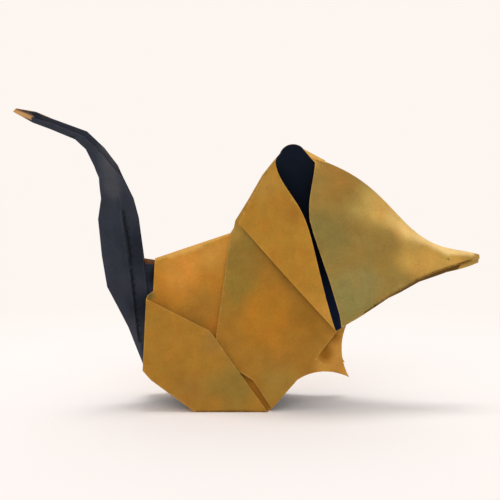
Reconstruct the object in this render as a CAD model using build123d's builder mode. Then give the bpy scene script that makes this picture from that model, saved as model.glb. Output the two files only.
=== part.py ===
"""Origami mouse: one square sheet, ochre on one side and navy on the other, wet-folded into a
sitting mouse. The nose points along +X, +Z is up, and the sheet is folded about the plane Y = 0.
The origin is on the ground, below the middle of the length. Millimetres throughout.

Places are given as the mouse is seen from its side: (along, up). A reach is how far the paper
stands out from the plane Y = 0. Every panel is one paper thickness, and they meet at their folds.
"""

import math
import os

from build123d import *

# The sheet, and how far a section is drawn past the middle before it is cut there
PAPER = 0.3
PAST_MIDDLE = 0.6

# Body: the back falls from a sloping ridge, the flank is pleated over it, and both lean out downwards
BACK_REAR = (-23.7, 37.4)
BACK_NOTCH = (-24.05, 29.3)
BACK_HEEL = (-25.6, 28.2)
BACK_FRONT = (-4.2, 44.0)
CROWN_REAR = 1.1
CROWN_FRONT = 0.3
SOLE_INNER = 12.2
NECK_HEIGHT = 46.4
FLANK_LEAN = 16.8
PLEAT_DEPTH = 5.0

# Haunch: a flap turned out at the sole and up again over the back and the flank
STANCE = 15.0
HAUNCH_LEAN = 16.7
HAUNCH_TOP_REAR = (-25.7, 27.8)
HAUNCH_HEEL_TOP = (-26.4, 10.1)
HAUNCH_HEEL = (-24.3, 7.8)
SOLE_REAR = -13.0
SOLE_FRONT = 5.3
HAUNCH_TOP_FRONT = (-9.4, 19.8)

# Flank: its rear fold runs down under the haunch, and a paw ends it in front
FLANK_EDGE_FOOT = (-8.5, 14.0)
FLANK_TUCK = (-4.5, 8.6)
FLANK_CUT_TOP = (-1.5, 9.5)
FLANK_CUT_BEND = (1.5, 7.7)
FLANK_TOE = (6.3, 0.7)
CHEST_BEND = (12.8, 7.8)
PAW_TIP = (25.9, 8.4)
PAW_ARCH = (19.2, 9.8)
PAW_FOLD = (17.3, 12.8)
CHEST_TOP = (22.9, 19.5)
THROAT = (25.4, 20.8)
WRIST = (24.1, 14.5)
PAW_TUCK = 2.4
PAST_TIP = 1.3

# Head: the nape ridge carries the backs of the ears, the brow ridge carries the face
NAPE = (-2.6, 47.0)
EAR_TOP = (11.5, 66.8)
BROW = (14.3, 65.5)
EAR_CORNER = (17.4, 62.1)
CHEEK_CORNER = (24.0, 20.7)

# Tail: how far its rim is turned in at the root
ROOT_TURN = 0.7


def at(plane, place):
    """Where a place seen from the side falls on a leaning plane, in that plane's own axes."""
    along, up = place
    origin, normal = plane.origin, plane.z_dir
    reach = (normal.X * (along - origin.X) + normal.Z * (up - origin.Z)) / normal.Y
    return plane.to_local_coords(Vector(along, origin.Y - reach, up))


def leaning(place, rise, lean):
    """The near side of a ridge that passes through a place and rises forwards by rise degrees,
    leaning out from the upright by lean degrees. Its normal points out of the mouse."""
    rise, lean = math.radians(rise), math.radians(lean)
    ridge = Vector(math.cos(rise), 0, math.sin(rise))
    fall = Vector(math.sin(rise) * math.cos(lean), -math.sin(lean), -math.cos(rise) * math.cos(lean))
    return Plane(origin=(place[0], 0, place[1]), x_dir=ridge, z_dir=fall.cross(ridge))


def spot(plane, place, inward=0.0):
    """The point of a plane at a place seen from the side, moved towards Y = 0 by inward."""
    point = plane.from_local_coords(at(plane, place))
    return Vector(point.X, point.Y + inward, point.Z)


def through(a, b, c):
    """The plane through three points, with its normal pointing out of the near side."""
    normal = (b - a).cross(c - a)
    if normal.Y > 0:
        normal = -normal
    return Plane(origin=a, x_dir=b - a, z_dir=normal)


def station(ridge, rim):
    """The plane across a fold, from a ridge place to a rim place: local x runs down from the
    ridge and local y out from the plane Y = 0."""
    down = (Vector(rim[0], 0, rim[1]) - Vector(ridge[0], 0, ridge[1])).normalized()
    return Plane(origin=(ridge[0], 0, ridge[1]), x_dir=down, z_dir=(down.Z, 0, -down.X))


def apart(a, b):
    return math.hypot(a[0] - b[0], a[1] - b[1])


def inset(curve):
    """The control points of a curve, one paper thickness inside it."""
    points = [Vector(*p) for p in curve]
    inner = []
    for n, point in enumerate(points):
        run = points[min(n + 1, len(points) - 1)] - points[max(n - 1, 0)]
        inner.append(point + Vector(run.Y, -run.X).normalized() * PAPER)
    return inner


def past_middle(place):
    """The start of a section, a little way past the plane Y = 0 in line with its first place."""
    return (-place[0] * PAST_MIDDLE / place[1], -PAST_MIDDLE)


def folded_section(ridge, rim, shoulder, cheek, reach):
    """Half of the sheet's section across a ridge: it leaves the ridge towards shoulder, bends by
    way of cheek, and ends at the rim. Shoulder and cheek are (share of the way down, reach)."""
    down = apart(ridge, rim)
    shoulder = (down * shoulder[0], shoulder[1])
    outer = [past_middle(shoulder), shoulder, (down * cheek[0], cheek[1]), (down, reach)]
    inner = inset(outer)
    with BuildSketch(station(ridge, rim)) as section:
        with BuildLine():
            Bezier(*outer)
            Line(outer[-1], inner[-1])
            Bezier(*reversed(inner))
            Line(inner[0], outer[0])
        make_face()
    return section.sketch


def panel(plane, *places):
    """A flat panel of the sheet with its outer face on plane, cut to an outline seen from the side."""
    with BuildPart() as sheet:
        with BuildSketch(Plane.XZ):
            with BuildLine():
                Polyline(*places, close=True)
            make_face()
        extrude(amount=2 * STANCE, both=True)
        split(bisect_by=plane, keep=Keep.BOTTOM)
        split(bisect_by=plane.offset(-PAPER), keep=Keep.TOP)
    return sheet.part


def root_section(start, end, reach, end_reach):
    """Half of the tail root's section: turned in at the tail's rim, then on into the body."""
    long = apart(start, end)
    turned = reach - ROOT_TURN
    with BuildSketch(station(start, end)) as section:
        with BuildLine():
            Polyline(
                (0, reach),
                (PAPER, reach),
                (PAPER, turned),
                (long, end_reach),
                (long, end_reach - PAPER),
                (0, turned - PAPER),
                close=True,
            )
        make_face()
    return section.sketch


def tail_section(spine, rim, share, crease_reach, reach):
    """Half of the tail's section: from its spine to a crease part of the way across, and to its rim."""
    wide = apart(spine, rim)
    crease = (wide * share, crease_reach)
    outer = [past_middle(crease), crease, (wide, reach)]
    inner = inset(outer)
    with BuildSketch(station(spine, rim)) as section:
        with BuildLine():
            Polyline(*outer, *reversed(inner), close=True)
        make_face()
    return section.sketch


# Planes of the near side
flank_plane = leaning((0, NECK_HEIGHT), 0, FLANK_LEAN)
haunch_plane = leaning((0, STANCE / math.tan(math.radians(HAUNCH_LEAN))), 0, HAUNCH_LEAN)
back_plane = through(
    Vector(BACK_REAR[0], -CROWN_REAR, BACK_REAR[1]),
    Vector(BACK_FRONT[0], -CROWN_FRONT, BACK_FRONT[1]),
    Vector(SOLE_FRONT, -SOLE_INNER, 0),
)

# The back runs down inside the haunch to the sole, and forwards under the flank. Its crown is the
# narrow strip left along the ridge where the fold is rounded.
back_rise = (BACK_FRONT[1] - BACK_REAR[1]) / (BACK_FRONT[0] - BACK_REAR[0])
under_neck = (BACK_FRONT[0] + 1.5, BACK_FRONT[1] + 1.5 * back_rise)
with BuildPart() as back:
    add(
        panel(
            back_plane,
            BACK_REAR,
            BACK_NOTCH,
            BACK_HEEL,
            (BACK_HEEL[0], 10.0),
            HAUNCH_HEEL,
            (SOLE_REAR, -1.0),
            (SOLE_FRONT + 0.5, -1.0),
            (SOLE_FRONT + 1.5, 4.0),
            (SOLE_FRONT - 1.0, 9.5),
            under_neck,
        )
    )
with BuildPart() as crown:
    with BuildSketch(Plane.XZ):
        with BuildLine():
            Line(BACK_REAR, under_neck)
            offset(amount=PAPER, side=Side.RIGHT)
        make_face()
    extrude(amount=2 * CROWN_REAR)
    split(bisect_by=back_plane, keep=Keep.BOTTOM)

# The haunch: its outer layer, and the folds that close its heel and its sole against the back
heel_folds = [HAUNCH_TOP_REAR, HAUNCH_HEEL_TOP, HAUNCH_HEEL, (SOLE_REAR, 0), (SOLE_FRONT, 0)]
with BuildPart() as haunch:
    add(panel(haunch_plane, *heel_folds, HAUNCH_TOP_FRONT))
with BuildPart() as sole:
    with BuildSketch(Plane.XZ):
        with BuildLine():
            Polyline(*heel_folds)
            offset(amount=PAPER, side=Side.LEFT, kind=Kind.INTERSECTION)
        make_face()
    extrude(amount=2 * STANCE)
    split(bisect_by=haunch_plane, keep=Keep.BOTTOM)
    split(bisect_by=back_plane.offset(-PAPER), keep=Keep.TOP)

# The flank is pleated over the back: its rear edge is a fold, with a layer that returns beneath it.
# The fold across the paw is drawn past the paw's tip, where the paw is then cut to its outline.
paw_end = tuple(f + (t - f) * PAST_TIP for f, t in zip(PAW_FOLD, PAW_TIP))
with BuildPart() as flank:
    add(
        panel(
            flank_plane,
            BACK_FRONT,
            FLANK_EDGE_FOOT,
            FLANK_TUCK,
            FLANK_CUT_TOP,
            FLANK_CUT_BEND,
            FLANK_TOE,
            CHEST_BEND,
            (paw_end[0], CHEST_BEND[1] - 1.0),
            paw_end,
            PAW_FOLD,
            CHEST_TOP,
            (3.0, NECK_HEIGHT - 0.8),
            (BACK_FRONT[0] + 1.0, NECK_HEIGHT - 0.8),
        )
    )
pleat_foot = (FLANK_EDGE_FOOT[0] + PLEAT_DEPTH, FLANK_EDGE_FOOT[1])
pleat_plane = through(
    spot(flank_plane, BACK_FRONT),
    spot(flank_plane, FLANK_EDGE_FOOT),
    spot(back_plane, pleat_foot),
)
with BuildPart() as pleat:
    add(panel(pleat_plane, BACK_FRONT, FLANK_EDGE_FOOT, pleat_foot))

# The upper half of the paw is tucked in behind the edge of the flank
paw_plane = through(
    spot(flank_plane, PAW_FOLD),
    spot(flank_plane, PAW_TIP),
    spot(flank_plane, THROAT, PAW_TUCK),
)
with BuildPart() as paw:
    add(panel(paw_plane, PAW_FOLD, paw_end, (paw_end[0], WRIST[1]), THROAT, CHEST_TOP))

# What lies outside the curved lower and front edges of the paw
with BuildPart() as past_paw:
    with BuildSketch(Plane.XZ):
        with BuildLine():
            lower = ThreePointArc(CHEST_BEND, PAW_ARCH, PAW_TIP)
            front = ThreePointArc(PAW_TIP, WRIST, THROAT)
            Polyline(front @ 1, (40.0, THROAT[1]), (40.0, 0), (CHEST_BEND[0], 0), lower @ 0)
        make_face()
    extrude(amount=2 * STANCE, both=True)

# The backs of the ears, from the nape ridge out to the rim of the ear
ear_backs = [
    (NAPE, (23.6, 18.7), (0.30, 5.0), (0.62, 9.5), 9.0),
    ((0.3, 52.0), (19.0, 39.4), (0.25, 4.5), (0.65, 11.0), 12.0),
    ((4.0, 58.7), (15.3, 50.0), (0.25, 3.5), (0.65, 9.5), 11.2),
    ((8.4, 64.3), (12.0, 61.2), (0.25, 1.8), (0.65, 3.6), 4.6),
]
with BuildPart() as ear_back:
    loft([folded_section(*fold) for fold in ear_backs], ruled=True)
    with BuildSketch(Plane.XZ):
        with BuildLine():
            edge = Spline((7.6, 66.0), (7.6, 60.6), (13.1, 51.5), (16.9, 40.8), (22.5, 19.8))
            Polyline(edge @ 1, (22.5, 10.0), (40.0, 10.0), (40.0, 70.0), (7.6, 70.0), edge @ 0)
        make_face()
    extrude(amount=2 * STANCE, both=True, mode=Mode.SUBTRACT)

# The face, from behind the ear's opening to the nose
face_folds = [
    ((11.5, 66.5), (22.6, 17.6), (0.22, 9.0), (0.58, 16.2), 8.6),
    ((22.3, 61.4), (28.5, 21.2), (0.205, 9.4), (0.61, 15.1), 7.3),
    ((30.9, 56.3), (33.0, 24.2), (0.16, 8.3), (0.59, 12.5), 6.3),
    ((36.2, 51.4), (36.5, 26.6), (0.12, 7.0), (0.56, 10.2), 5.5),
    ((44.5, 43.4), (44.2, 31.6), (0.05, 5.0), (0.48, 6.1), 4.0),
    ((53.0, 39.85), (53.0, 35.1), (0.04, 2.6), (0.48, 3.0), 2.2),
    ((59.8, 38.45), (59.8, 36.6), (0.08, 1.0), (0.50, 1.15), 0.9),
]
with BuildPart() as face:
    loft([folded_section(*fold) for fold in face_folds])
    with BuildSketch(Plane.XZ):
        with BuildLine():
            brow_edge = Line(BROW, EAR_CORNER)
            edge = Spline(EAR_CORNER, (16.8, 58.3), (15.75, 52.3), (15.9, 47.5), (18.9, 37.8), CHEEK_CORNER)
            lip = Spline(edge @ 1, (34.7, 27.0), (44.2, 32.4), (52.0, 35.2), (60.5, 37.6))
            Polyline(lip @ 1, (60.5, 10.0), (0, 10.0), (0, 70.0), (BROW[0], 70.0), brow_edge @ 0)
        make_face()
    extrude(amount=2 * STANCE, both=True, mode=Mode.SUBTRACT)

# The lower jaw: a shallow keel between the lips, from the corner of the mouth to the nose, as
# (along, keel height, rim height, reach at the rim)
jaw_folds = [
    (33.5, 25.6, 27.9, 7.28),
    (39.5, 28.5, 31.3, 5.63),
    (44.4, 31.3, 34.05, 4.49),
    (51.5, 33.8, 36.4, 2.77),
    (57.4, 35.4, 37.7, 1.25),
    (59.6, 36.3, 37.6, 0.85),
]
with BuildPart() as jaw:
    for along, keel, rim, reach in jaw_folds:
        past = keel - (rim - keel) * PAST_MIDDLE / reach
        with BuildSketch(Plane(origin=(along, 0, 0), x_dir=(0, -1, 0), z_dir=(-1, 0, 0))):
            with BuildLine():
                Polyline(
                    (-PAST_MIDDLE, past),
                    (reach, rim),
                    (reach, rim + PAPER),
                    (-PAST_MIDDLE, past + PAPER),
                    close=True,
                )
            make_face()
    loft(ruled=True)

# The wall between the two ears: the sheet turned back inside at the nape
with BuildPart() as ear_wall:
    with BuildSketch(Plane.XZ):
        with BuildLine():
            rim = ThreePointArc((8.4, 64.4), EAR_TOP, (14.6, 65.5))
            Polyline(
                rim @ 1,
                (20.0, 62.65),
                (24.8, 22.5),
                (24.5, 18.6),
                (21.0, 18.4),
                (5.0, 38.0),
                (-3.6, 44.4),
                (-3.0, 47.2),
                (0.1, 52.2),
                (3.95, 58.9),
                (6.3, 61.9),
                rim @ 0,
            )
        make_face()
    extrude(amount=PAPER, both=True)

# The tail: a long corner of the sheet, folded in half along its spine
tail_root = [
    ((-27.0, 9.9), (-23.0, 11.5), 0.20, 3.0, 4.2),
    ((-30.7, 19.5), (-24.5, 20.5), 0.32, 2.6, 3.0),
    ((-36.1, 30.0), (-25.7, 29.5), 0.63, 3.5, 2.4),
    ((-37.4, 38.0), (-26.7, 38.5), 0.61, 3.5, 1.8),
    ((-38.3, 47.5), (-27.9, 47.8), 0.60, 3.3, 1.7),
    ((-37.5, 52.8), (-29.2, 52.8), 0.62, 2.6, 1.6),
    ((-38.0, 58.1), (-31.8, 58.2), 0.62, 1.4, 1.5),
]
tail_near = [
    ((-39.2, 61.2), (-34.3, 61.0), 0.60, 1.0, 1.4),
    ((-41.3, 65.5), (-37.8, 65.2), 0.60, 0.8, 1.2),
    ((-44.0, 68.0), (-41.8, 68.9), 0.60, 0.7, 1.0),
    ((-50.5, 70.7), (-50.2, 72.3), 0.60, 0.6, 0.9),
    ((-54.8, 72.3), (-55.0, 73.6), 0.60, 0.5, 0.8),
]
tail_far = [
    ((-39.2, 61.2), (-33.2, 61.3), 0.60, 1.0, 1.4),
    ((-41.3, 65.5), (-36.6, 65.8), 0.60, 0.8, 1.2),
    ((-44.0, 68.0), (-41.0, 70.0), 0.60, 0.7, 1.0),
    ((-50.5, 70.7), (-49.8, 73.2), 0.60, 0.6, 0.9),
    ((-54.8, 72.3), (-54.0, 75.0), 0.60, 0.5, 0.8),
    ((-59.8, 75.1), (-59.1, 75.9), 0.60, 0.4, 0.5),
]
with BuildPart() as tail_side:
    loft([tail_section(*fold) for fold in tail_root + tail_near], ruled=True)
    split(bisect_by=Plane.XZ, keep=Keep.TOP)
with BuildPart() as tail_back:
    loft([tail_section(*fold) for fold in tail_root + tail_far], ruled=True)
    split(bisect_by=Plane.XZ, keep=Keep.TOP)

# The tail's root: both its layers run on inside the body and end level, the far one higher
root_folds = [
    ((-23.6, 12.0), (-18.0, 12.0), 4.1, 8.4),
    ((-25.0, 20.5), (-18.5, 20.5), 2.9, 6.1),
    ((-26.1, 29.5), (-19.0, 29.5), 2.28, 2.6),
]
with BuildPart() as root_side:
    top = ((-26.9, 36.2), (-20.0, 35.6), 1.83, 0.6)
    loft([root_section(*fold) for fold in root_folds + [top]], ruled=True)
with BuildPart() as root_back:
    top = ((-27.0, 37.4), (-20.0, 36.4), 1.75, 0.5)
    loft([root_section(*fold) for fold in root_folds + [top]], ruled=True)

with BuildPart() as forelimb:
    add(flank.part)
    add(paw.part)
    add(past_paw.part, mode=Mode.SUBTRACT)
with BuildPart() as half:
    for piece in (back, crown, haunch, sole, forelimb, pleat, ear_back, face, jaw, ear_wall):
        add(piece.part)
    split(bisect_by=Plane.XZ, keep=Keep.TOP)
    split(bisect_by=Plane.XY, keep=Keep.TOP)
with BuildPart() as near_half:
    for piece in (half, root_side, tail_side):
        add(piece.part)
with BuildPart() as far_half:
    for piece in (half, root_back, tail_back):
        add(piece.part)
with BuildPart() as mouse:
    add(near_half.part)
    add(mirror(far_half.part, about=Plane.XZ))

mouse.part.label = "folded_sheet"
os.makedirs("parts", exist_ok=True)
export_step(mouse.part, "parts/folded_sheet.step")
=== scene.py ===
import math

import bmesh
import bpy
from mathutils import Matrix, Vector, noise
from mathutils.kdtree import KDTree


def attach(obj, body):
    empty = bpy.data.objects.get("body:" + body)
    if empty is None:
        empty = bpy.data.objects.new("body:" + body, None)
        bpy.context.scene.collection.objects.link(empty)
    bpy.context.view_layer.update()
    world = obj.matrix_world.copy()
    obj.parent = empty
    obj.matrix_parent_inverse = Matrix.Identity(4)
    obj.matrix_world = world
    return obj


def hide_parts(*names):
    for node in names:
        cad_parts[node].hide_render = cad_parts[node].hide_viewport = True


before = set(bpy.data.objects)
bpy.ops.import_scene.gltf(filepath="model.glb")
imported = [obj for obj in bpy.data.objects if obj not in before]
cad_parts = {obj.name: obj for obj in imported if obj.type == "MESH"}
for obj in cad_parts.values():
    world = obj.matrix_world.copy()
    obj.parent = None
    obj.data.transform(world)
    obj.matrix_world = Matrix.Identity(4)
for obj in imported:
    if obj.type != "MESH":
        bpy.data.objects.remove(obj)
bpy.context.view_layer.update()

# The folded sheet
# One square of heavy mulberry paper, brushed with ochre dye on one side and navy on the other. It
# is folded damp into a sitting mouse, its panels dry with soft bends, and only its folds hold it.
MM = 0.001
PAPER = 0.3 * MM
MERGED = 0.002 * MM
NEARLY_FLAT = math.radians(1)
FOLD_ANGLE = math.radians(24)

sheet = bmesh.new()
sheet.from_mesh(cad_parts["folded_sheet"].data)
bmesh.ops.remove_doubles(sheet, verts=sheet.verts, dist=MERGED)
bmesh.ops.dissolve_limit(sheet, angle_limit=NEARLY_FLAT, verts=sheet.verts, edges=sheet.edges)
bmesh.ops.triangulate(sheet, faces=sheet.faces)


def is_fold(edge):
    return edge.calc_face_angle(0) > FOLD_ANGLE


def cut_to_triangles():
    """Cut each face that an operator left with more than three corners."""
    bmesh.ops.triangulate(sheet, faces=[face for face in sheet.faces if len(face.verts) > 3])


# The panels: what each face of the sheet belongs to. The two halves of the mouse are alike, so a face
# is first brought to one side. Places are given as (along, reach, up) in millimetres, where reach is
# how far they stand out from the middle plane.
def plane_through(*places):
    """A spot on a flat panel and its outward normal."""
    a, b, c = (Vector(place) * MM for place in places)
    normal = (b - a).cross(c - a).normalized()
    return a, normal if normal.y > 0 else -normal


FLAT_PANELS = {
    "haunch": plane_through((-20, 15, 0), (0, 15, 0), (0, 9, 20)),
    "flank": plane_through((0, 0, 46.4), (20, 0, 46.4), (0, 12.08, 6.4)),
    "back": plane_through((-23.7, 1.1, 37.4), (-4.2, 0.3, 44.0), (5.3, 12.2, 0)),
    "paw": plane_through((17.3, 10.144, 12.8), (25.9, 11.472, 8.4), (25.4, 5.329, 20.8)),
}
RIDGE_REAR = Vector((-23.7, 0, 37.4)) * MM
RIDGE_FRONT = Vector((-4.2, 0, 44.0)) * MM
PANELS = [
    "haunch", "flank", "back", "paw", "ear_back", "nape", "brow", "face", "jaw", "tail", "tail_tip",
    "root_strip", "ear_lining", "inside", "cut_edge", "tail_edge",
]


def ridge_height(along):
    share = (along - RIDGE_REAR.x) / (RIDGE_FRONT.x - RIDGE_REAR.x)
    return RIDGE_REAR.z + share * (RIDGE_FRONT.z - RIDGE_REAR.z)


def folded(face):
    """The middle and the normal of a face, brought to one side of the middle plane."""
    middle, normal = face.calc_center_median(), face.normal.copy()
    if middle.y < 0:
        middle.y, normal.y = -middle.y, -normal.y
    return middle, normal


# The tail runs into the body below the ridge. There it is told from the back and the haunch by their
# rear edges, and by how far it lies from the back's own layer.
ROOT_FRONT = -17.3 * MM
RIDGE_LAYER = 0.45 * MM
HAUNCH_TOP = 29.3 * MM
HAUNCH_REAR = -26.8 * MM
BACK_REAR = -24.2 * MM
LAYER_GAP = 1.5 * PAPER


def is_behind_body(middle):
    """Whether a place is on the tail, or on the part of it that runs into the body."""
    spot, outward = FLAT_PANELS["back"]
    depth = (middle - spot).dot(outward)
    if middle.x > ROOT_FRONT:
        return False
    if middle.x > RIDGE_REAR.x and middle.z > ridge_height(middle.x) - RIDGE_LAYER:
        return False
    if middle.z < HAUNCH_TOP:
        return middle.x < HAUNCH_REAR or depth < -LAYER_GAP
    return middle.x < BACK_REAR or abs(depth) > LAYER_GAP


WALL_REACH = 1.1 * PAPER
SIDEWAYS = 0.99


def is_ear_wall(face):
    """Whether a face is on the wall between the ears, which lies in the middle plane."""
    middle, normal = folded(face)
    return middle.y < WALL_REACH and normal.y > SIDEWAYS and middle.x > RIDGE_FRONT.x


def beyond(line, middle):
    """Whether a place is past a line, on the side that the line's normal points to."""
    return (middle - line[0]).dot(line[1]) > 0


# The wall between the ears is navy where it shows between them, and ochre where it is turned over
# the ridges of the nape and the brow
NAPE_LINE = (Vector((7.4, 0, 62.6)) * MM, Vector((-22.6, 0, 4.4)).normalized())
BROW_LINE = (Vector((14.0, 0, 66.0)) * MM, Vector((3.9, 0, 3.4)).normalized())
for spot, across in (NAPE_LINE, BROW_LINE):
    wall = [face for face in sheet.faces if is_ear_wall(face)]
    edges = {edge for face in wall for edge in face.edges}
    verts = {vert for face in wall for vert in face.verts}
    geom = [*wall, *edges, *verts]
    bmesh.ops.bisect_plane(sheet, geom=geom, plane_co=spot, plane_no=across, dist=MERGED)
    cut_to_triangles()


# What tells the panels apart: how nearly a face lies in a flat panel, as the cosine of its turn and
# its depth, whether it is seen edge on or faces down, and in millimetres the places where one panel
# gives way to the next
IN_LINE = 0.9998
IN_PLANE = 0.15 * PAPER
TIP_FRONT = -51.5
STRIP_REAR, STRIP_LOW, STRIP_HIGH = -26.9, 35.3, 37.6
EDGE_ON = 0.02
BODY_FRONT = 8
HEEL_TOP = 30
JAW_REAR = 33
FACING_DOWN = -0.6
SLIT_START, SLIT_HIGH, SLIT_LEAN = 10.8, 66, 0.27


def panel_of(face):
    middle, normal = folded(face)
    for name, (spot, outward) in FLAT_PANELS.items():
        depth, turn = (middle - spot).dot(outward), normal.dot(outward)
        if turn > IN_LINE and abs(depth) < IN_PLANE:
            return name
        if turn < -IN_LINE and abs(depth + PAPER) < IN_PLANE:
            return "paw" if name == "paw" else "inside"
    along, _, up = middle / MM
    outside = normal.y > 0
    if is_behind_body(middle):
        if outside:
            return "tail"
        if along < TIP_FRONT:
            return "tail_tip"
        far_side = face.calc_center_median().y > 0
        on_strip = far_side and along > STRIP_REAR and STRIP_LOW < up < STRIP_HIGH
        return "root_strip" if on_strip else "tail"
    if is_ear_wall(face):
        if beyond(NAPE_LINE, middle):
            return "nape"
        return "brow" if beyond(BROW_LINE, middle) else "ear_lining"
    if abs(normal.y) < EDGE_ON and along < BODY_FRONT:
        return "back" if up > HEEL_TOP else "haunch"
    if not outside:
        return "inside"
    if along > JAW_REAR and normal.z < FACING_DOWN:
        return "jaw"
    slit = SLIT_START + SLIT_LEAN * (SLIT_HIGH - up)
    return "face" if along > slit else "ear_back"


def smooth_runs(faces):
    """Each run of faces that no fold divides."""
    left = set(faces)
    while left:
        run = [left.pop()]
        for face in run:
            for edge in face.edges:
                if is_fold(edge):
                    continue
                for other in edge.link_faces:
                    if other in left:
                        left.remove(other)
                        run.append(other)
        yield run


CUT_WIDTH = 1.6 * PAPER


def is_cut_edge(run):
    """Whether a run is only about as wide as the paper is thick."""
    inside = set(run)
    area = sum(face.calc_area() for face in run)
    edges = {edge for face in run for edge in face.edges}
    rim = sum(edge.calc_length() for edge in edges if not inside.issuperset(edge.link_faces))
    return 2 * area < CUT_WIDTH * rim


panel = sheet.faces.layers.int.new("panel")
for run in smooth_runs(sheet.faces):
    cut = is_cut_edge(run)
    for face in run:
        if cut:
            name = "tail_edge" if is_behind_body(folded(face)[0]) else "cut_edge"
        else:
            name = panel_of(face)
        face[panel] = PANELS.index(name)

# The faces are halved until they can bend and take the dye, finest beside the folds
FINE_CELL = 0.5 * MM
COARSE_CELL = 1.5 * MM
HALVINGS = 7
fold_points = []
for edge in sheet.edges:
    if is_fold(edge):
        start, end = (vert.co for vert in edge.verts)
        steps = math.ceil(edge.calc_length() / FINE_CELL)
        fold_points += [start.lerp(end, n / steps) for n in range(steps + 1)]

# The long slot between the lip and the jaw, along which the sheet is pressed in and a line of painted shade
# is drawn, as (along, up) in millimetres
LIP_LINE = [(30.0, 24.2), (38.0, 29.1), (43.5, 32.25), (47.9, 34.05), (57.5, 36.9)]
LIP_WIDTH = 0.45 * MM
LIP_DEPTH = 0.3 * MM


def from_stroke(place, ends):
    """How far a place is from a straight stroke or a single spot, seen from the side."""
    start, end = (Vector((along, 0, up)) * MM for along, up in (ends[0], ends[-1]))
    run = end - start
    offset = Vector((place.x, 0, place.z)) - start
    share = offset.dot(run) / run.length_squared if len(ends) > 1 else 0
    return (offset - run * min(1.0, max(0.0, share))).length


def from_lip(place):
    if place.x < LIP_LINE[0][0] * MM:
        return COARSE_CELL
    return min(from_stroke(place, ends) for ends in zip(LIP_LINE, LIP_LINE[1:]))


folds = KDTree(len(fold_points))
for n, point in enumerate(fold_points):
    folds.insert(point, n)
folds.balance()


def from_fold(point):
    return folds.find(point)[2]


def too_long(edge):
    length = edge.calc_length()
    if length < FINE_CELL:
        return False
    middle = (edge.verts[0].co + edge.verts[1].co) / 2
    return length > min(COARSE_CELL, FINE_CELL + min(from_fold(middle), from_lip(middle)))


for _ in range(HALVINGS):
    long_edges = [edge for edge in sheet.edges if too_long(edge)]
    if not long_edges:
        break
    bmesh.ops.subdivide_edges(sheet, edges=long_edges, cuts=1)
    cut_to_triangles()

# How near each point is to a fold or a cut edge, for the wear along them and the painted highlight where
# their round edges catch the light
WEAR_AND_HIGHLIGHT_WIDTH = 1.2 * MM
wear_and_highlight = sheet.verts.layers.float.new("wear_and_highlight")
for vert in sheet.verts:
    vert[wear_and_highlight] = max(0.0, 1.0 - from_fold(vert.co) / WEAR_AND_HIGHLIGHT_WIDTH)

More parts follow.
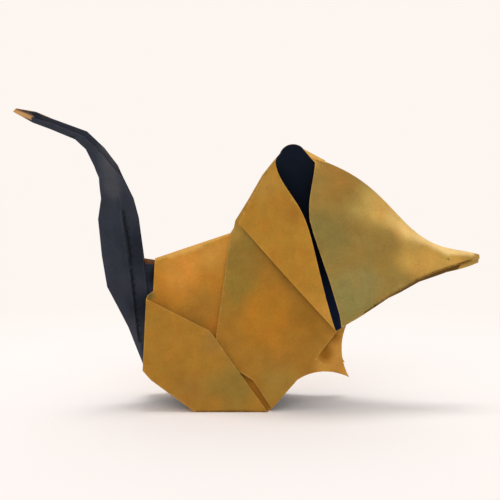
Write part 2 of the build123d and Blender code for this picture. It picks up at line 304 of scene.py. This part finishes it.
# The dye: each panel has a main colour, and soft pools and strokes of other colours. Many are where the
# brush or a finger left more or less of it; those that are painted light and shade are named beside them.
# A pool has its middle as (along, up) in millimetres, a stroke its two ends, and both have a radius in
# millimetres and a colour.
# The lip strokes are painted shade: a dark line along the slot under the lip.
LIP_PAINTED_SHADE = [(*ends, LIP_WIDTH / MM, "#5a3d0c") for ends in zip(LIP_LINE, LIP_LINE[1:])]
DYES_AND_PAINTED_LIGHT = {
    # The haunch's thin dark stroke along its foot, at the floor, is a painted contact shadow.
    "haunch": ("#a3752a", [((-22, 17), 7, "#a4752a"), ((-3, 6), 8, "#8f7231"), ((-14, 5), 6, "#9a702d"),
                           ((-8, 18), 4, "#997132"), ((-13, 0), (4.6, 0), 0.3, "#5f4517")]),
    # The flank's darker pool at (15, 22) is painted shade where the ear's lower edge overhangs it.
    "flank": ("#9f7129", [((-3, 39), 10, "#8f7232"), ((-2, 29), 8, "#8b722f"), ((5, 22), 9, "#ae7624"),
                          ((15, 22), 5, "#9a6b23"), ((9, 6), 7, "#9e7a34"), ((20, 11), 4, "#b78739"),
                          ((-3.4, 43.4), 2.6, "#a6823b")]),
    # The back is paler near the ridge and darker just above the haunch. Its small dark olive pool at (-24.9,
    # 28.4) is painted shade for the shaded pocket between the haunch and the back, and its two pale strokes
    # along the ridge are a painted highlight on the round top.
    "back": ("#b67b2a", [((-17, 35.5), 7, "#c88937"), ((-9.5, 39), 6, "#c18a3a"), ((-13, 24.5), 6, "#a2732b"),
                         ((-24.9, 28.4), 1.3, "#6a6536"), ((-23.6, 37.3), (-4.4, 43.8), 0.5, "#d9a452"),
                         ((-20, 38.3), (-12, 41.0), 0.9, "#d9a452")]),
    # Both of the paw's darker pools are painted shade below the flank's fold, so the paw lightens towards its
    # tip.
    "paw": ("#bd8a3e", [((19.6, 14.4), 2.8, "#8e5c14"), ((22.4, 17.8), 2.0, "#a06d26")]),
    "ear_back": ("#af7f2e", [((4, 57), 6, "#af8439"), ((11, 50.5), 5, "#a9762b"), ((20, 24), 7, "#bc8a38")]),
    "nape": ("#a07a32", []),
    "brow": ("#deb05a", []),
    # The face is darker and more olive near the slit and low down. Its pale pool at (32.5, 51.5) and the pale
    # strokes from (34, 50) to (58, 38.9) along the top of the snout are a painted highlight.
    "face": ("#967b3d", [((23.5, 58), 7, "#9c7635"), ((32.5, 51.5), 7, "#c2a054"), ((20, 44), 8, "#86753d"),
                         ((25, 28), 8, "#897e47"), ((29, 32), 6, "#918149"), ((35, 39), 5, "#947a3c"),
                         ((43, 38), (54, 38.5), 5, "#c2984a"), ((34, 50), (43, 44.5), 3.6, "#cda356"),
                         ((37, 48.4), (42, 45), 2.6, "#ddb668"), ((40.5, 46), (44.5, 43.2), 2.0, "#e8c278"),
                         ((44.5, 43.2), (51.5, 39.8), 1.5, "#f0cc86"),
                         ((51.5, 39.8), (58, 38.9), 1.2, "#f0cc86"), ((59.6, 38.6), 0.7, "#a98448"),
                         ((16.5, 62.6), 2.5, "#c1954a"), *LIP_PAINTED_SHADE]),
    # The jaw's dark brown is partly painted shade under the lip.
    "jaw": ("#5a4116", []),
    # On the tail, the darker pools at (-28, 40) and (-27, 25) are painted shade on the facet turned from the
    # light, the paler pool at (-30, 16) and the pale stroke on the upper bend are painted light, the
    # near-black pool at (-23.6, 33) is painted shade in the gap at the root, and the thin dark strokes are
    # painted shade in the crease.
    "tail": ("#2f333d", [((-28, 40), 7, "#20242f"), ((-27, 25), 5, "#1f232e"), ((-30, 16), 5, "#393c46"),
                         ((-36, 66), (-34.5, 56), 3.4, "#44464d"), ((-23.6, 33), 3.2, "#080d15"),
                         ((-31.6, 49.8), (-30.2, 40.2), 0.4, "#0d1017"),
                         ((-30.2, 40.2), (-29.1, 29), 0.4, "#0d1017"),
                         ((-29.1, 29), (-27.7, 16.1), 0.4, "#0d1017")]),
    "tail_tip": ("#23262f", [((-59.4, 75.3), (-55.2, 73.5), 0.75, "#c29261")]),
    # The root strip's brown is ochre darkened as painted shade in the gap at the tail's root.
    "root_strip": ("#855c3e", []),
    # The lining's near-black is partly painted shade in the slit, and its paler pool at (23, 23) is painted
    # light that lifts the deep lower slit to navy.
    "ear_lining": ("#0b1320", [((23, 23), 12, "#1c2743")]),
    "inside": ("#171d2a", []),
    "cut_edge": ("#b08945", []),
    "tail_edge": ("#33303a", []),
}
# The pools end softly, their outlines wander, and the hue drifts a little between warm and cool. The
# wandering is drawn from a seed, so that each run gives the same dye.
WANDER_SEED = 4
POOL_EDGE = 1.25
DRIFT_LENGTH = 9 * MM
DRIFT = 0.35
WARM_LENGTH = 4 * MM
WARMTH = 0.06


def linear(hex_colour):
    """The linear colour of an sRGB hex value."""
    shares = [int(hex_colour[n:n + 2], 16) / 255 for n in (1, 3, 5)]
    return [s / 12.92 if s <= 0.04045 else ((s + 0.055) / 1.055) ** 2.4 for s in shares] + [1]


def eased(share):
    """A share from 0 to 1 that starts and ends gently."""
    share = min(1.0, max(0.0, share))
    return share * share * (3 - 2 * share)


def dye_and_painted_light_at(name, point):
    """The colour of a panel's dye at a point, with the light and shade painted into it."""
    main, pools = DYES_AND_PAINTED_LIGHT[name]
    colour = Vector(linear(main))
    drift = noise.noise_vector(point / DRIFT_LENGTH) * DRIFT
    for *ends, radius, tint in pools:
        radius *= MM
        away = from_stroke(point + drift * radius, ends) / radius
        colour = colour.lerp(Vector(linear(tint)), eased(POOL_EDGE - away))
    warmth = noise.fractal(point / WARM_LENGTH, 1.0, 2.0, 3) * WARMTH
    colour.x *= 1 + warmth
    colour.y *= 1 - 0.5 * warmth
    colour.z *= 1 - warmth
    return colour


noise.seed_set(WANDER_SEED)
dye_and_painted_light = sheet.loops.layers.float_color.new("dye_and_painted_light")
for name in PANELS:
    number = PANELS.index(name)
    seen = {}
    for face in sheet.faces:
        if face[panel] != number:
            continue
        for loop in face.loops:
            if loop.vert not in seen:
                seen[loop.vert] = dye_and_painted_light_at(name, loop.vert.co)
            loop[dye_and_painted_light] = seen[loop.vert]

# The ridge of the back is a soft round fold, so its sides curve in towards the top
ROUND_DEPTH = 1.7 * MM
ROUND_SHARE = 0.65
RIDGE_MARGIN = 0.1 * MM
RIDGE_REACH = 2.5 * MM
for edge in sheet.edges:
    edge.smooth = not is_fold(edge)
for vert in sheet.verts:
    below = ridge_height(vert.co.x) - vert.co.z
    near_top = -RIDGE_MARGIN < below < ROUND_DEPTH and abs(vert.co.y) < RIDGE_REACH
    if near_top and RIDGE_REAR.x - RIDGE_MARGIN < vert.co.x < RIDGE_FRONT.x:
        vert.co.y *= 1 - ROUND_SHARE * (1 - max(0.0, below) / ROUND_DEPTH) ** 2
        for edge in vert.link_edges:
            if all(PANELS[face[panel]] == "back" for face in edge.link_faces):
                edge.smooth = True

# The face's edge beside the ear runs nearly straight: it is drawn back low down and let out higher up,
# by the height and depth of each pull. The wall between the ears stays where it is.
SLIT_TOP = Vector((15.9, 0, 47.5)) * MM
SLIT_FOOT = Vector((24.0, 0, 20.7)) * MM
PULLS = [(28 * MM, -0.55 * MM), (42 * MM, 0.4 * MM)]
PULL_SPREAD = 5 * MM
PULL_REACH = 6 * MM
PULL_LEAD = 0.5 * MM
CLEAR_OF_WALL = 1.3 * PAPER
for vert in sheet.verts:
    share = (SLIT_TOP.z - vert.co.z) / (SLIT_TOP.z - SLIT_FOOT.z)
    from_slit = vert.co.x - SLIT_TOP.x - share * (SLIT_FOOT.x - SLIT_TOP.x)
    if 0 < share < 1 and -PULL_LEAD < from_slit < PULL_REACH and abs(vert.co.y) > CLEAR_OF_WALL:
        pull = sum(depth * math.exp(-((vert.co.z - up) / PULL_SPREAD) ** 2) for up, depth in PULLS)
        vert.co.x += pull * (1 - eased(from_slit / PULL_REACH))

# The inner side of the thin snout lies a little deeper, so that it stays behind the outer one
SNOUT_REAR = 24 * MM
INNER_GAP = 0.06 * MM
sheet.normal_update()
for vert in sheet.verts:
    if vert.co.x > SNOUT_REAR and all(PANELS[face[panel]] == "inside" for face in vert.link_faces):
        vert.co += vert.normal * INNER_GAP

# The slot under the lip, pressed in where the snout is wide enough for it
SLOT_EDGE = 1.4
LEAST_REACH = 3
for vert in sheet.verts:
    press = LIP_DEPTH * eased(SLOT_EDGE - from_lip(vert.co) / LIP_WIDTH)
    if abs(vert.co.y) > LEAST_REACH * press:
        vert.co.y -= math.copysign(press, vert.co.y)

# The fold that the mouse stands on is round, so the haunch turns in just above the floor
SOLE_ROUND = 0.7 * MM
SOLE_TURN = 0.45 * MM
SOLE_REACH = 14 * MM
for vert in sheet.verts:
    if vert.co.z < SOLE_ROUND and abs(vert.co.y) > SOLE_REACH:
        turn = SOLE_TURN * (1 - vert.co.z / SOLE_ROUND) ** 2
        vert.co.y -= math.copysign(turn, vert.co.y)

# The soft bends that the damp paper dried in, long ones and small cockles. Both faces of a layer move
# nearly together, and the bends die away at the soles and towards the middle plane.
BEND_LENGTH = 17 * MM
BEND_DEPTH = 0.45 * MM
COCKLE_LENGTH = 6 * MM
COCKLE_DEPTH = 0.10 * MM
COCKLE_PLACE = Vector((7, 3, 5))
STILL_HEIGHT = 0.5 * MM
FREE_HEIGHT = 7 * MM
FREE_REACH = 4 * MM
for vert in sheet.verts:
    freedom = min(1.0, max(0.0, (vert.co.z - STILL_HEIGHT) / FREE_HEIGHT))
    freedom *= min(1.0, abs(vert.co.y) / FREE_REACH)
    bend = noise.noise(vert.co / BEND_LENGTH) * BEND_DEPTH
    bend += noise.noise(vert.co / COCKLE_LENGTH + COCKLE_PLACE) * COCKLE_DEPTH
    vert.co.y += bend * freedom

# Which side of the sheet each panel shows: ochre, unless it is named here
OCHRE, NAVY, CUT_EDGE = range(3)
FINISH = {"tail": NAVY, "ear_lining": NAVY, "inside": NAVY, "cut_edge": CUT_EDGE, "tail_edge": CUT_EDGE}
for face in sheet.faces:
    face.smooth = True
    face.material_index = FINISH.get(PANELS[face[panel]], OCHRE)
sheet.faces.layers.int.remove(panel)

folded_paper = bpy.data.objects.new("folded_paper", bpy.data.meshes.new("folded_paper"))
sheet.to_mesh(folded_paper.data)
sheet.free()
bpy.context.scene.collection.objects.link(folded_paper)
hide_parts("folded_sheet")
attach(folded_paper, "root")


def add(tree, kind, settings=(), **inputs):
    """Add a node. An input is given by its name, or by its number as in _0."""
    node = tree.nodes.new(kind)
    for name, value in dict(settings).items():
        setattr(node, name, value)
    for name, value in inputs.items():
        socket = node.inputs[int(name[1:]) if name[1:].isdigit() else name.replace("_", " ")]
        if isinstance(value, bpy.types.NodeSocket):
            tree.links.new(value, socket)
        else:
            socket.default_value = value
    return node


# Mulberry fibres are some 0.02 mm wide, too fine to show, and are drawn at half a millimetre
FIBRE = 0.5 * MM
CLOUD = 3.5 * MM
FIBRE_RELIEF = 0.05 * MM


def dyed_paper(name, mottle, wear_and_highlight_colour, wear_and_highlight_share):
    """Dyed mulberry paper: matt, with fine fibres and faint clouds in the dye, and the colour turned
    towards another along the folds and edges, partly by wear and partly as a painted highlight."""
    material = bpy.data.materials.new(name)
    material.use_nodes = True
    tree = material.node_tree
    place = add(tree, "ShaderNodeTexCoord").outputs["Object"]
    dye_and_painted_light_colour = add(tree, "ShaderNodeAttribute", {"attribute_name": "dye_and_painted_light"})
    fibre = add(tree, "ShaderNodeTexNoise", Vector=place, Scale=1 / FIBRE, Detail=4.0, Roughness=0.65)
    cloud = add(tree, "ShaderNodeTexNoise", Vector=place, Scale=1 / CLOUD, Detail=4.0)
    grain = add(tree, "ShaderNodeMath", {"operation": "ADD"}, _0=fibre.outputs["Fac"],
                _1=cloud.outputs["Fac"])
    level = add(tree, "ShaderNodeMapRange", Value=grain.outputs[0], From_Min=0.7, From_Max=1.3,
                To_Min=1 - mottle, To_Max=1 + mottle)
    mottled = add(tree, "ShaderNodeVectorMath", {"operation": "SCALE"}, _0=dye_and_painted_light_colour.outputs["Color"],
                  Scale=level.outputs[0])
    near_fold = add(tree, "ShaderNodeAttribute", {"attribute_name": "wear_and_highlight"})
    uneven = add(tree, "ShaderNodeMath", {"operation": "MULTIPLY"}, _0=near_fold.outputs["Fac"],
                 _1=level.outputs[0])
    share = add(tree, "ShaderNodeMapRange", Value=uneven.outputs[0], From_Min=0.7, From_Max=1.0, To_Max=wear_and_highlight_share)
    worn_and_highlit = add(tree, "ShaderNodeMix", {"data_type": "RGBA"}, _0=share.outputs[0], _6=mottled.outputs[0],
               _7=linear(wear_and_highlight_colour))
    bump = add(tree, "ShaderNodeBump", Height=fibre.outputs["Fac"], Strength=0.3, Distance=FIBRE_RELIEF)
    shader = tree.nodes["Principled BSDF"]
    tree.links.new(worn_and_highlit.outputs[2], shader.inputs["Base Color"])
    tree.links.new(bump.outputs[0], shader.inputs["Normal"])
    shader.inputs["Roughness"].default_value = 0.85
    shader.inputs["IOR"].default_value = 1.45
    shader.inputs["Specular IOR Level"].default_value = 0.12
    return material


# Thin ochre dye brushed over the pale sheet: it dries cloudy and matt, and is lighter along the folds, partly
# where they are rubbed and partly as a painted highlight
ochre = dyed_paper("ochre_dyed_paper", mottle=0.13, wear_and_highlight_colour="#d3a55a", wear_and_highlight_share=0.32)
# A denser coat of navy on the other side: nearly black in the hollows, and greyed along the folds, partly by
# rubbing and partly as a painted sheen
navy = dyed_paper("navy_dyed_paper", mottle=0.16, wear_and_highlight_colour="#4a4a50", wear_and_highlight_share=0.25)
# The core of the sheet where a knife cut it, with dye soaked in from both sides: a thin even line
cut_edge = dyed_paper("cut_paper_edge", mottle=0.12, wear_and_highlight_colour="#b98f4a", wear_and_highlight_share=0.0)
for paper in (ochre, navy, cut_edge):
    folded_paper.data.materials.append(paper)

# The floor
# A wide sheet of pale uncoated paper that the mouse stands on. Near the mouse it keeps the shadow.
# Further off it has the plain tone of the room behind, so that no horizon shows.
PALE = "#fdf6f1"
FLOOR = "#fefbfb"
FLOOR_RADIUS = 6
NEAR = 70 * MM
FAR = 200 * MM


def seen_directly(tree):
    """Whether the camera sees a surface itself, or in gloss or through glass."""
    ray = add(tree, "ShaderNodeLightPath").outputs
    seen = add(tree, "ShaderNodeMath", {"operation": "MAXIMUM"}, _0=ray["Is Camera Ray"],
               _1=ray["Is Glossy Ray"])
    seen = add(tree, "ShaderNodeMath", {"operation": "MAXIMUM"}, _0=seen.outputs[0],
               _1=ray["Is Transmission Ray"])
    return seen.outputs[0]


floor = bpy.data.objects.new("floor", bpy.data.meshes.new("floor"))
disc = bmesh.new()
bmesh.ops.create_circle(disc, cap_ends=True, segments=64, radius=FLOOR_RADIUS)
disc.to_mesh(floor.data)
disc.free()
bpy.context.scene.collection.objects.link(floor)
# Uncoated paper scatters light evenly and has no gloss
matt_floor = bpy.data.materials.new("matt_floor_paper")
matt_floor.use_nodes = True
tree = matt_floor.node_tree
shader = tree.nodes["Principled BSDF"]
shader.inputs["Base Color"].default_value = linear(FLOOR)
shader.inputs["Roughness"].default_value = 1.0
shader.inputs["Specular IOR Level"].default_value = 0.0
plain = add(tree, "ShaderNodeEmission", Color=linear(PALE), Strength=1.0)
place = add(tree, "ShaderNodeTexCoord").outputs["Object"]
away = add(tree, "ShaderNodeVectorMath", {"operation": "LENGTH"}, _0=place)
fade = add(tree, "ShaderNodeMapRange", {"interpolation_type": "SMOOTHSTEP"}, Value=away.outputs["Value"],
           From_Min=NEAR, From_Max=FAR)
share = add(tree, "ShaderNodeMath", {"operation": "MULTIPLY"}, _0=seen_directly(tree), _1=fade.outputs[0])
mixed = add(tree, "ShaderNodeMixShader", Fac=share.outputs[0], _1=shader.outputs[0], _2=plain.outputs[0])
tree.links.new(mixed.outputs[0], tree.nodes["Material Output"].inputs["Surface"])
floor.data.materials.append(matt_floor)

# The light
# A pale room with three soft lamps: a small one overhead that draws the shadow, and two wide ones,
# behind and in front. Each is given its place and width in metres and its power in watts.
ROOM_LIGHT = 0.6
LAMP_COLOUR = "#fffdfb"
LAMP_AIM = Vector((0, 0, 35)) * MM
world = bpy.data.worlds.new("pale_room")
bpy.context.scene.world = world
world.use_nodes = True
tree = world.node_tree
room = tree.nodes["Background"]
room.inputs["Color"].default_value = linear(PALE)
strength = add(tree, "ShaderNodeMapRange", Value=seen_directly(tree), To_Min=ROOM_LIGHT, To_Max=1.0)
tree.links.new(strength.outputs[0], room.inputs["Strength"])
LAMPS = [
    ("overhead_lamp", (0.0, 0.25, 0.97), 0.35, 3.0),
    ("back_lamp", (0.1, 0.9, 0.45), 0.8, 2.5),
    ("front_lamp", (-0.1, -0.95, 0.35), 0.8, 3.2),
]
for name, spot, wide, watts in LAMPS:
    lamp = bpy.data.objects.new(name, bpy.data.lights.new(name, "AREA"))
    lamp.data.size = wide
    lamp.data.energy = watts
    lamp.data.color = linear(LAMP_COLOUR)[:3]
    lamp.location = spot
    lamp.rotation_euler = (LAMP_AIM - lamp.location).to_track_quat("-Z", "Y").to_euler()
    bpy.context.scene.collection.objects.link(lamp)

# The camera
# A long lens looks at the mouse square from its side and from a little above. Its aim and its
# distance put the mouse at the photograph's place and size in the frame.
TARGET = Vector((0.77, 0, 39.56)) * MM
ELEVATION = math.radians(6)
DISTANCE = 482.8 * MM
camera = bpy.data.objects.new("camera", bpy.data.cameras.new("camera"))
camera.data.lens = 135
camera.data.sensor_width = 36
camera.location = TARGET + DISTANCE * Vector((0, -math.cos(ELEVATION), math.sin(ELEVATION)))
camera.rotation_euler = (TARGET - camera.location).to_track_quat("-Z", "Y").to_euler()
bpy.context.scene.collection.objects.link(camera)
bpy.context.scene.camera = camera
bpy.context.scene.view_settings.view_transform = "Standard"
